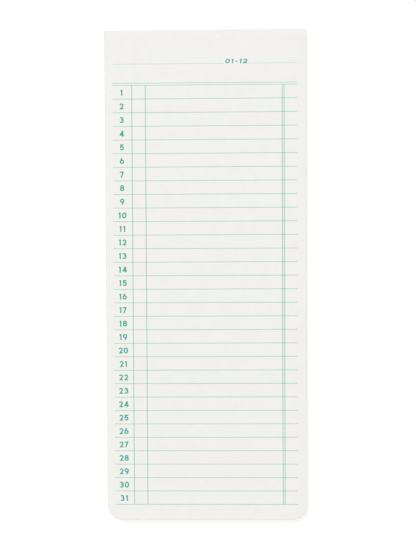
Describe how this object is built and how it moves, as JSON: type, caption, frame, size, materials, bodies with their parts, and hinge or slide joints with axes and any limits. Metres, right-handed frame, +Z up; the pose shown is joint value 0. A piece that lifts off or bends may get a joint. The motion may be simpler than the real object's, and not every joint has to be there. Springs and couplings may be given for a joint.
{
  "type": "sticky memo pad",
  "caption": "Tall narrow pad of sticky memo sheets, ruled with a numbered line for each day of a month, each sheet held by a glue strip along its top edge.",
  "frame": {"origin": "centre of the pad's underside", "axes": "+X to the right of the print, +Y to the glued top edge, +Z up out of the top sheet"},
  "size_m": [0.074, 0.1808, 0.0033],
  "materials": {
    "paper": "matt uncoated",
    "glue": "tacky satin film",
    "card": "matt unprinted board"
  },
  "bodies": {
    "backing": {"backing_card": "card"},
    "sheet_25": {"sheet_25": "paper", "glue_strip_25": "glue"},
    "sheet_24": {"sheet_24": "paper", "glue_strip_24": "glue"},
    "sheet_23": {"sheet_23": "paper", "glue_strip_23": "glue"},
    "sheet_22": {"sheet_22": "paper", "glue_strip_22": "glue"},
    "sheet_21": {"sheet_21": "paper", "glue_strip_21": "glue"},
    "sheet_20": {"sheet_20": "paper", "glue_strip_20": "glue"},
    "sheet_19": {"sheet_19": "paper", "glue_strip_19": "glue"},
    "sheet_18": {"sheet_18": "paper", "glue_strip_18": "glue"},
    "sheet_17": {"sheet_17": "paper", "glue_strip_17": "glue"},
    "sheet_16": {"sheet_16": "paper", "glue_strip_16": "glue"},
    "sheet_15": {"sheet_15": "paper", "glue_strip_15": "glue"},
    "sheet_14": {"sheet_14": "paper", "glue_strip_14": "glue"},
    "sheet_13": {"sheet_13": "paper", "glue_strip_13": "glue"},
    "sheet_12": {"sheet_12": "paper", "glue_strip_12": "glue"},
    "sheet_11": {"sheet_11": "paper", "glue_strip_11": "glue"},
    "sheet_10": {"sheet_10": "paper", "glue_strip_10": "glue"},
    "sheet_09": {"sheet_09": "paper", "glue_strip_09": "glue"},
    "sheet_08": {"sheet_08": "paper", "glue_strip_08": "glue"},
    "sheet_07": {"sheet_07": "paper", "glue_strip_07": "glue"},
    "sheet_06": {"sheet_06": "paper", "glue_strip_06": "glue"},
    "sheet_05": {"sheet_05": "paper", "glue_strip_05": "glue"},
    "sheet_04": {"sheet_04": "paper", "glue_strip_04": "glue"},
    "sheet_03": {"sheet_03": "paper", "glue_strip_03": "glue"},
    "sheet_02": {"sheet_02": "paper", "glue_strip_02": "glue"},
    "sheet_01": {"sheet_01_head": "paper", "glue_strip_01": "glue"},
    "sheet_01_flap": {"sheet_01_flap": "paper"}
  },
  "joints": [
    {"name": "sheet_01_fold", "type": "hinge", "parent": "sheet_01", "child": "sheet_01_flap", "pos_m": [0, 0.0744, 0.0033], "axis": [-1, 0, 0], "range_deg": [0, 170], "stiffness_Nm_per_rad": 0.0005},
    {"name": "sheet_01_peel", "type": "slide", "parent": "backing", "child": "sheet_01", "axis": [1, 0, 0], "range_m": [0, 0.074]},
    {"name": "sheet_02_peel", "type": "slide", "parent": "backing", "child": "sheet_02", "axis": [1, 0, 0], "range_m": [0, 0.074]},
    {"name": "sheet_03_peel", "type": "slide", "parent": "backing", "child": "sheet_03", "axis": [1, 0, 0], "range_m": [0, 0.074]},
    {"name": "sheet_04_peel", "type": "slide", "parent": "backing", "child": "sheet_04", "axis": [1, 0, 0], "range_m": [0, 0.074]},
    {"name": "sheet_05_peel", "type": "slide", "parent": "backing", "child": "sheet_05", "axis": [1, 0, 0], "range_m": [0, 0.074]},
    {"name": "sheet_06_peel", "type": "slide", "parent": "backing", "child": "sheet_06", "axis": [1, 0, 0], "range_m": [0, 0.074]},
    {"name": "sheet_07_peel", "type": "slide", "parent": "backing", "child": "sheet_07", "axis": [1, 0, 0], "range_m": [0, 0.074]},
    {"name": "sheet_08_peel", "type": "slide", "parent": "backing", "child": "sheet_08", "axis": [1, 0, 0], "range_m": [0, 0.074]},
    {"name": "sheet_09_peel", "type": "slide", "parent": "backing", "child": "sheet_09", "axis": [1, 0, 0], "range_m": [0, 0.074]},
    {"name": "sheet_10_peel", "type": "slide", "parent": "backing", "child": "sheet_10", "axis": [1, 0, 0], "range_m": [0, 0.074]},
    {"name": "sheet_11_peel", "type": "slide", "parent": "backing", "child": "sheet_11", "axis": [1, 0, 0], "range_m": [0, 0.074]},
    {"name": "sheet_12_peel", "type": "slide", "parent": "backing", "child": "sheet_12", "axis": [1, 0, 0], "range_m": [0, 0.074]},
    {"name": "sheet_13_peel", "type": "slide", "parent": "backing", "child": "sheet_13", "axis": [1, 0, 0], "range_m": [0, 0.074]},
    {"name": "sheet_14_peel", "type": "slide", "parent": "backing", "child": "sheet_14", "axis": [1, 0, 0], "range_m": [0, 0.074]},
    {"name": "sheet_15_peel", "type": "slide", "parent": "backing", "child": "sheet_15", "axis": [1, 0, 0], "range_m": [0, 0.074]},
    {"name": "sheet_16_peel", "type": "slide", "parent": "backing", "child": "sheet_16", "axis": [1, 0, 0], "range_m": [0, 0.074]},
    {"name": "sheet_17_peel", "type": "slide", "parent": "backing", "child": "sheet_17", "axis": [1, 0, 0], "range_m": [0, 0.074]},
    {"name": "sheet_18_peel", "type": "slide", "parent": "backing", "child": "sheet_18", "axis": [1, 0, 0], "range_m": [0, 0.074]},
    {"name": "sheet_19_peel", "type": "slide", "parent": "backing", "child": "sheet_19", "axis": [1, 0, 0], "range_m": [0, 0.074]},
    {"name": "sheet_20_peel", "type": "slide", "parent": "backing", "child": "sheet_20", "axis": [1, 0, 0], "range_m": [0, 0.074]},
    {"name": "sheet_21_peel", "type": "slide", "parent": "backing", "child": "sheet_21", "axis": [1, 0, 0], "range_m": [0, 0.074]},
    {"name": "sheet_22_peel", "type": "slide", "parent": "backing", "child": "sheet_22", "axis": [1, 0, 0], "range_m": [0, 0.074]},
    {"name": "sheet_23_peel", "type": "slide", "parent": "backing", "child": "sheet_23", "axis": [1, 0, 0], "range_m": [0, 0.074]},
    {"name": "sheet_24_peel", "type": "slide", "parent": "backing", "child": "sheet_24", "axis": [1, 0, 0], "range_m": [0, 0.074]},
    {"name": "sheet_25_peel", "type": "slide", "parent": "backing", "child": "sheet_25", "axis": [1, 0, 0], "range_m": [0, 0.074]}
  ]
}
